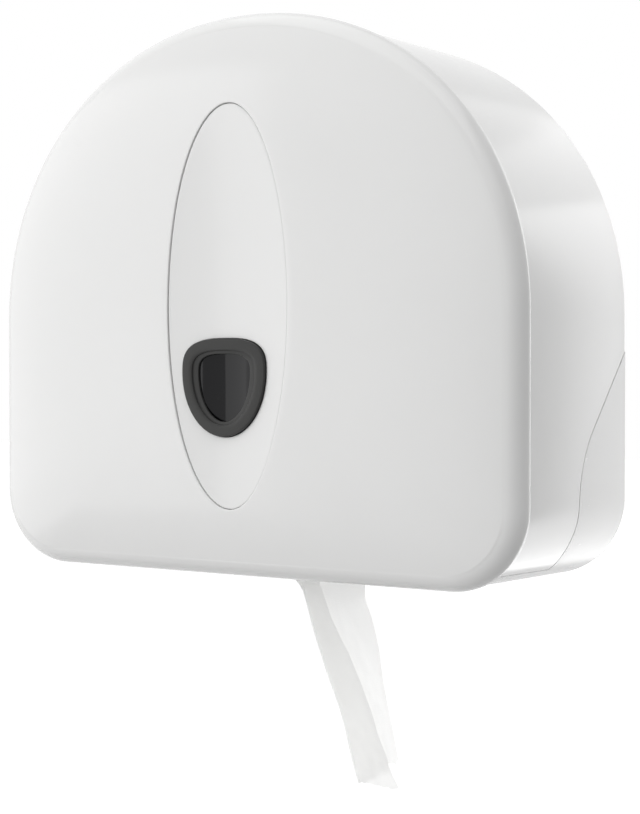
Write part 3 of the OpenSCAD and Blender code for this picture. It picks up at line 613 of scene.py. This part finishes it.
def arc(centre, r, start, end, count):
    """Points of an arc round a centre, both ends included."""
    return [(centre[0] + r * math.cos(a), centre[1] + r * math.sin(a))
            for a in np.linspace(start, end, count)]


def build_arms():
    """Hinge arms inside the cover: each has an eye round its pin and a pad on the side wall."""
    top = PIN_Z + ARM_L
    spread_a = math.acos(ARM_HALF / ARM_EYE_R)
    edge = arc((PIN_D, PIN_Z), ARM_EYE_R, spread_a, -math.pi - spread_a, 40)
    edge += [(PIN_D - ARM_HALF, top), (PIN_D + ARM_HALF, top)]
    bore = arc((PIN_D, PIN_Z), PIN_R + 0.05, 2 * math.pi, 0, 33)[:-1]
    pad = [(PIN_D, top - 21), (PIN_D + ARM_HALF, top - 21), (PIN_D + ARM_HALF, top),
           (PIN_D - ARM_HALF, top), (PIN_D - ARM_HALF, top - 6), (PIN_D, top - 6)]
    for side, word in ((-1, "left"), (1, "right")):
        near, far, wall = side * ARM_X, side * (ARM_X + ARM_T), side * (BODY_W / 2 - 1.5)
        prism("hinge_arm_" + word, [edge, bore], min(near, far), max(near, far))
        prism("arm_pad_" + word, [pad], min(far, wall), max(far, wall))


def build_lock_boss():
    """Boss inside the cover that carries the lock barrel."""
    b = Builder()
    turn = np.linspace(0, 2 * math.pi, 72, endpoint=False)

    def ring(r, z):
        start = len(b.points)
        b.points += [(r * math.cos(a), r * math.sin(a) - LOCK_D, z) for a in turn]
        return np.arange(start, start + len(turn))

    top = ARCH_H - 2.6
    profile = [(BARREL_R + 0.1, top), (BARREL_R + 0.1, LOCK_BOSS_Z + 0.4),
               (BARREL_R + 0.4, LOCK_BOSS_Z), (LOCK_BOSS_R - 0.5, LOCK_BOSS_Z),
               (LOCK_BOSS_R, LOCK_BOSS_Z + 0.5),
               (LOCK_BOSS_R, top - 1), (LOCK_BOSS_R + 1, top)]
    rows = [ring(r, z) for r, z in profile]
    b.rings(rows + rows[:1])
    b.make("lock_boss", WHITE, "cover", ())


build_cover()
build_arms()
build_lock_boss()


# ---- panel and window ----

def build_panel():
    """The hollow elliptical panel, a closed skin with a hole for the window's surround."""
    b = Builder()
    a = np.linspace(0, 2 * math.pi, 360, endpoint=False)
    unit = np.stack([np.cos(a), np.sin(a)], 1)
    centre = np.array([WINDOW_X, WINDOW_Z - 7])

    def rim(inset):
        return unit * [PANEL_A - inset, PANEL_B - inset] + [0, PANEL_Z]

    def hole(grow):
        rays = rim(0) - centre
        return centre + rays / gauge(rays + centre, window_outline(-grow), centre)[:, None]

    rows = []
    for inset, under in ((0.0, PANEL_T), (0.0, 0.5), (0.06, 0.22), (0.2, 0.06), (0.5, 0.0)):
        p = rim(inset)
        rows.append(b.add(p, face_depth(p) - under))
    for t in np.linspace(0, 1, 44)[1:]:
        p = rim(0.5) * (1 - t) + hole(PANEL_GAP + 0.4) * t
        rows.append(b.add(p, face_depth(p)))
    for grow, under in ((PANEL_GAP + 0.15, 0.06), (PANEL_GAP, 0.3), (PANEL_GAP, PANEL_T)):
        p = hole(grow)
        rows.append(b.add(p, face_depth(p) - under))
    for t in np.linspace(0, 1, 12)[1:-1]:
        p = hole(PANEL_GAP) * (1 - t) + rim(0) * t
        rows.append(b.add(p, face_depth(p) - PANEL_T))
    b.rings(rows + rows[:1])
    b.make("panel_shell", PANEL, "cover", ["decor_panel"])


def build_window():
    """The dark surround, in steps down to its lens, and the hollow lens behind it."""
    b = Builder()
    flange_d = float(face_depth(np.array([[0.0, WINDOW_Z]]))[0]) - PANEL_T - 0.2
    back_d, flange = flange_d - 1.5, -2.2
    face, step = WINDOW_FACE_D, STEP_D
    inner = BEZEL + LENS_LEDGE
    # how far in from the outline, how much more in width, and the depth
    profile = [(flange, 0, back_d), (flange, 0, flange_d), (0, 0, flange_d), (0, 0, face - 0.4),
               (0.06, 0, face - 0.2), (0.2, 0, face - 0.06), (0.4, 0, face), (0.55, 0, face + 0.01),
               (2.5, 0, face + 0.04), (BEZEL - 2.2, 0, face + 0.04), (BEZEL - 0.7, 0, face),
               (BEZEL - 0.25, 0, face - 0.15), (BEZEL, 0, face - 0.45), (BEZEL, 0, step + 0.25),
               (BEZEL + 0.15, 0, step + 0.05), (BEZEL + 0.45, 0.1, step),
               (inner - 0.5, LENS_SIDE, step), (inner - 0.15, LENS_SIDE, step - 0.1),
               (inner, LENS_SIDE, step - 0.35), (inner, LENS_SIDE, LENS_D), (BEZEL, 0, LENS_D),
               (BEZEL, 0, back_d)]
    rows = [b.add(window_outline(i, s), d) for i, s, d in profile]
    b.rings(rows + rows[:1])
    b.make("surround_shell", SURROUND, "cover", ["window_surround"], sharp=40)

    b = Builder()
    front, curve_r = LENS_D - 0.05, 60.0
    back_d = front - 1.8 - LENS_DISH
    edge = window_outline(BEZEL + 0.2)
    middle = np.array([WINDOW_X, WINDOW_Z - 8])

    def hollow(p):
        fall = np.sqrt((curve_r + LENS_DISH) ** 2 - (p[:, 0] - WINDOW_X) ** 2) - curve_r
        return np.maximum(0, fall)

    rows = [b.add(edge, back_d)]
    for t in np.linspace(0, 1, 26)[:-1]:
        p = edge * (1 - t) + middle * t
        rows.append(b.add(p, front - hollow(p)))
    b.rings(rows)
    b.cap(rows[-1], front - LENS_DISH, middle)
    b.cap(rows[0], back_d, middle)
    b.make("lens_shell", LENS, "cover", ["window_lens"])


build_panel()
build_window()


# ---- paper ----

ROLL_R, ROLL_Z, ROLL_W, ROLL_BACK_D = 125.0, -1.3, 93.0, 13.0
CORE_OUT_R = 31.6
EXIT = np.array([17.0, LOW - 10])
LEAVE = math.radians(-110)
LEAVE_P = np.array([0, ROLL_Z]) + (ROLL_R + 0.6) * np.array([math.cos(LEAVE), math.sin(LEAVE)])
LEAVE_V = np.array([-math.sin(LEAVE), math.cos(LEAVE)])
FALL = np.array([33.0, -103.0])
TISSUE_W = ROLL_W
# how far the torn end hangs below the exit at its back edge, and how much further at its front
BACK_EDGE_L, FLAP_EXTRA_L = 104.5, 12.5
# the length that the tail's gradual changes are set over
TAIL_L = 105.0
# the width that hangs unfolded, and the depth of the fold, at the top and bottom of the tail
OPEN_W, FOLD_D = (74.0, 57.0), (89.5, 82.0)
# the same depth for the web, where it leaves the roll and at the outlet
WEB_FOLD_D = (87.0, 90.0)
FLAP_W, FOLD_R = 36.0, 0.8
# a closed fold turns by this much, a little less than half a turn
FOLD_TURN = math.pi * 0.985
# how far the back edge and the front edge lie to the side at the outlet
BACK_LEAN, FRONT_LEAN = -4.0, 0.6


def build_roll():
    """The wound roll: slightly uneven layers, rounded shoulders and a loose outer turn."""
    b = Builder()
    turn = np.linspace(0, 2 * math.pi, 256, endpoint=False)

    def ring(r, depth):
        uneven = 0.25 if r > 60 else 0.0
        far = [r + uneven * ripple(math.cos(a), math.sin(a), depth / 60, 0.5) for a in turn]
        return b.add([(q * math.cos(a), ROLL_Z + q * math.sin(a)) for q, a in zip(far, turn)],
                     depth)

    front_d = ROLL_BACK_D + ROLL_W
    half = [(CORE_OUT_R, 6.0), (CORE_OUT_R, 0.6), (CORE_OUT_R + 0.6, 0.1)]
    for r in np.linspace(CORE_OUT_R + 1.5, ROLL_R - 3, 40):
        half.append((r, 0.25 + 0.25 * ripple(r, 0.5, 0, 4.5)))
    half += [(ROLL_R - 0.25 - 1.2 * (1 - math.sin(a)), 1.4 * (1 - math.cos(a)) + 0.1)
             for a in np.linspace(0, math.pi / 2, 6)]
    half += [(ROLL_R - 0.25, d) for d in (6.0, 15.0, 30.0, ROLL_W / 2)]
    rows = [ring(r, front_d - d) for r, d in half]
    rows += [ring(r, ROLL_BACK_D + d) for r, d in half[-2::-1]]
    b.rings(rows + rows[:1])
    b.make("wound_roll", WOUND, "roll", ["paper_roll"], sharp=50)


def cross(a, b):
    return a[0] * b[1] - a[1] * b[0]


TURN_P = LEAVE_P + cross(EXIT - LEAVE_P, FALL) / cross(LEAVE_V, FALL) * LEAVE_V


def web_path(t):
    """Place and direction of the paper between the roll, t = 0, and the outlet, t = 1."""
    place = (1 - t) ** 2 * LEAVE_P + 2 * t * (1 - t) * TURN_P + t * t * EXIT
    way = 2 * (1 - t) * (TURN_P - LEAVE_P) + 2 * t * (EXIT - TURN_P)
    return place, way / np.linalg.norm(way)


def fold(u, open_w, fold_d, turn):
    """Depth and rise over the open part of a point of the tissue, `u` from its back edge."""
    if u <= open_w:
        return fold_d - open_w + u, 0.0
    over = u - open_w
    bend = min(turn, over / FOLD_R)
    rest = max(0.0, over - FOLD_R * turn)
    depth = fold_d + FOLD_R * math.sin(bend) + rest * math.cos(turn)
    return depth, FOLD_R * (1 - math.cos(bend)) + rest * math.sin(turn)


def sheet_point(place, way, u, turn, open_w, fold_d, lean, wave):
    """A point of the sheet; `lean` moves it sideways by how far towards the front it lies."""
    depth, rise = fold(u, open_w, fold_d, turn)
    n = np.array([-way[1], way[0]])
    n = n if n[0] > 0 else -n
    w = min(1.0, max(0.0, (depth - fold_d + open_w) / open_w))
    x = place[0] + lean[0] * (1 - w) + lean[1] * w + n[0] * (rise + wave)
    return x, depth, place[1] + n[1] * (rise + wave)


def make_sheet(name, rows, node):
    """One open surface through rows of points, each (x, depth, z)."""
    b = Builder()
    ids = [b.add([(x, z) for x, _, z in row], [d for _, d, _ in row]) for row in rows]
    b.rings(ids, closed=False)
    return b.make(name, TISSUE, "base", [node], sharp=70)


def build_web():
    """Tissue from the roll to the outlet, folding on the way."""
    rows = []
    for t in np.linspace(0, 1, 44):
        place, way = web_path(t)
        turn = FOLD_TURN * smooth((t - 0.1) / 0.9)
        s = smooth(t)
        fold_d = WEB_FOLD_D[0] + (WEB_FOLD_D[1] - WEB_FOLD_D[0]) * s
        row = []
        for u in np.linspace(0, TISSUE_W, 96):
            wave = 0.5 * smooth(t * 3) * (1 - s) * ripple(u, 0, t * 60, 22)
            row.append(sheet_point(place, way, u, turn, OPEN_W[0], fold_d,
                                   (BACK_LEAN * s, FRONT_LEAN * s), wave))
        rows.append(row)
    return make_sheet("tissue_web", rows, "paper_web")


def build_tail():
    """Tissue hanging below the housing, its front part folded over and its end torn off."""
    rows = []
    count, across = 130, 190
    way, drift = np.array([0.3, -0.954]), 30.5
    for i in range(count):
        row = []
        for j in range(across):
            u = TISSUE_W * j / (across - 1)
            tear = (1.6 * ripple(u, 3.1, 0, 9) + 1.1 * ripple(u, 7.7, 0, 3.2)
                    + 0.8 * ripple(u, 1.3, 5, 1.1))
            longer = FLAP_EXTRA_L * smooth((u - OPEN_W[1]) / FLAP_W)
            v = i / (count - 1) * (BACK_EDGE_L + longer + tear)
            share = v / TAIL_L
            open_w = OPEN_W[0] + (OPEN_W[1] - OPEN_W[0]) * share
            fold_d = FOLD_D[0] + (FOLD_D[1] - FOLD_D[0]) * share
            turn = FOLD_TURN - math.pi * 0.02 * smooth(share)
            place = np.array([EXIT[0] + drift * share, EXIT[1] - v])
            # the edges are slightly wavy, as the photo shows them
            back = (BACK_LEAN - 1.5 * share - 1.6 * bump_at(share, 0.13, 0.07)
                    + 1.4 * bump_at(share, 0.4, 0.15))
            front = (FRONT_LEAN + 0.6 * share - 0.8 * bump_at(share, 0.2, 0.1)
                     + 1.2 * bump_at(share, 0.62, 0.16))
            loose = smooth(share * 4)
            wave = loose * (0.7 * ripple(u, 11, v, 30) + 0.25 * ripple(u, 5, v, 8))
            if u > open_w:
                # the flap's free edge is crumpled, and stands off a little
                wave += loose * ((u - open_w) / FLAP_W) ** 2 * (1.2 + 1.6 * ripple(4, 9, v, 14))
            row.append(sheet_point(place, way, u, turn, open_w, fold_d, (back, front), wave))
        rows.append(row)
    return make_sheet("tissue_tail", rows, "paper_tail")


build_roll()
web = build_web()
tail = build_tail()
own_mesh(tail)


# ---- camera, light and floor ----

scene = bpy.context.scene
scene.view_settings.view_transform = "Standard"
EYE, AIM = Vector((506.8, -854.6, -30.5)), Vector((47.1, -118.9, -47.5))
lens = bpy.data.cameras.new("camera")
lens.lens, lens.sensor_width = 72.7, 36.0
camera = bpy.data.objects.new("camera", lens)
scene.collection.objects.link(camera)
camera.location = EYE * MM
camera.rotation_euler = ((AIM - EYE) * MM).to_track_quat("-Z", "Y").to_euler()
scene.camera = camera


LIT_POINT = Vector((0, -70, 0))


def softbox(name, azimuth, elevation, distance, width, height, radiance):
    """A square-on panel of light, `distance` metres from the lit point and sized in metres.

    Azimuth 0 is in front of the object and 90 on its right."""
    az, el = math.radians(azimuth), math.radians(elevation)
    way = Vector((math.sin(az) * math.cos(el), -math.cos(az) * math.cos(el), math.sin(el)))
    light = bpy.data.lights.new(name, "AREA")
    light.shape, light.size, light.size_y = "RECTANGLE", width, height
    # a flat emitter of this area has the wanted radiance at this power
    light.energy = radiance * math.pi * width * height
    obj = bpy.data.objects.new(name, light)
    scene.collection.objects.link(obj)
    obj.location = LIT_POINT * MM + way * distance
    obj.rotation_euler = (-way).to_track_quat("-Z", "Y").to_euler()
    obj.visible_camera = False
    return obj


# the left-hand box ends at azimuth -33, which draws the upright edges in the panel and the lens
softbox("left_box", -58, 4, 2.6, 2.42, 2.3, 1.15)
fill = softbox("front_fill", -22, 8, 3.0, 2.4, 2.4, 1.7)
low_fill = softbox("low_fill", -15, -40, 2.0, 1.8, 1.2, 1.5)
# these two only fill: their reflections would cover the edges that the left-hand box draws
fill.visible_glossy = low_fill.visible_glossy = False
softbox("top_box", 10, 80, 1.7, 2.2, 2.0, 0.75)
softbox("upper_right_box", 62, 50, 1.7, 1.1, 1.2, 0.5)
softbox("lower_right_box", 46, -54, 1.5, 0.9, 1.0, 0.6)
# three in a stack, so that the reflection in the side wall fades out towards the top
softbox("back_box_low", 162, -8, 0.95, 0.6, 1.1, 1.0)
softbox("back_box_middle", 162, -4, 0.98, 0.62, 1.4, 0.6)
softbox("back_box_high", 162, 0, 1.01, 0.64, 1.75, 0.4)


def plain_for_camera(tree, dim, plain):
    """Shows `plain` to the camera, also in mirrors and through glass, and `dim` to other rays."""
    ray = add_node(tree, "LightPath").outputs
    plain_rays = ray["Is Camera Ray"]
    for kind in ("Is Glossy Ray", "Is Transmission Ray"):
        plain_rays = add_node(tree, "Math", {0: plain_rays, 1: ray[kind]},
                              operation="MAXIMUM").outputs["Value"]
    return add_node(tree, "MixShader", {0: plain_rays, 1: dim, 2: plain}).outputs["Shader"]


world = bpy.data.worlds.new("studio")
scene.world = world
world.use_nodes = True
tree = world.node_tree
tree.nodes.clear()
sky, white = [add_node(tree, "Background", {"Color": (1, 1, 1, 1), "Strength": strength})
              .outputs["Background"] for strength in (0.5, 1.0)]
add_node(tree, "OutputWorld", {"Surface": plain_for_camera(tree, sky, white)})

# a pale floor under the hanging part, which takes its soft shadow
floor_look = bpy.data.materials.new("floor")
floor_look.use_nodes = True
tree = floor_look.node_tree
tree.nodes.clear()
grain = add_node(tree, "TexNoise", {"Scale": 3.0, "Detail": 3.0}).outputs["Fac"]
tone = add_node(tree, "MapRange", {"Value": grain, "To Min": 0.48, "To Max": 0.52})
paint = add_node(tree, "BsdfDiffuse", {"Color": tone.outputs["Result"], "Roughness": 1.0})
dark, glow = [add_node(tree, "Emission", {"Strength": strength}).outputs["Emission"]
              for strength in (0.0, 0.78)]
both = add_node(tree, "AddShader", {0: paint.outputs["BSDF"],
                                    1: plain_for_camera(tree, dark, glow)})
add_node(tree, "OutputMaterial", {"Surface": both.outputs["Shader"]})
bpy.ops.mesh.primitive_plane_add(size=30, location=(0, 0, -0.9))
floor = bpy.context.object
floor.name = "floor"
floor.data.materials.append(floor_look)
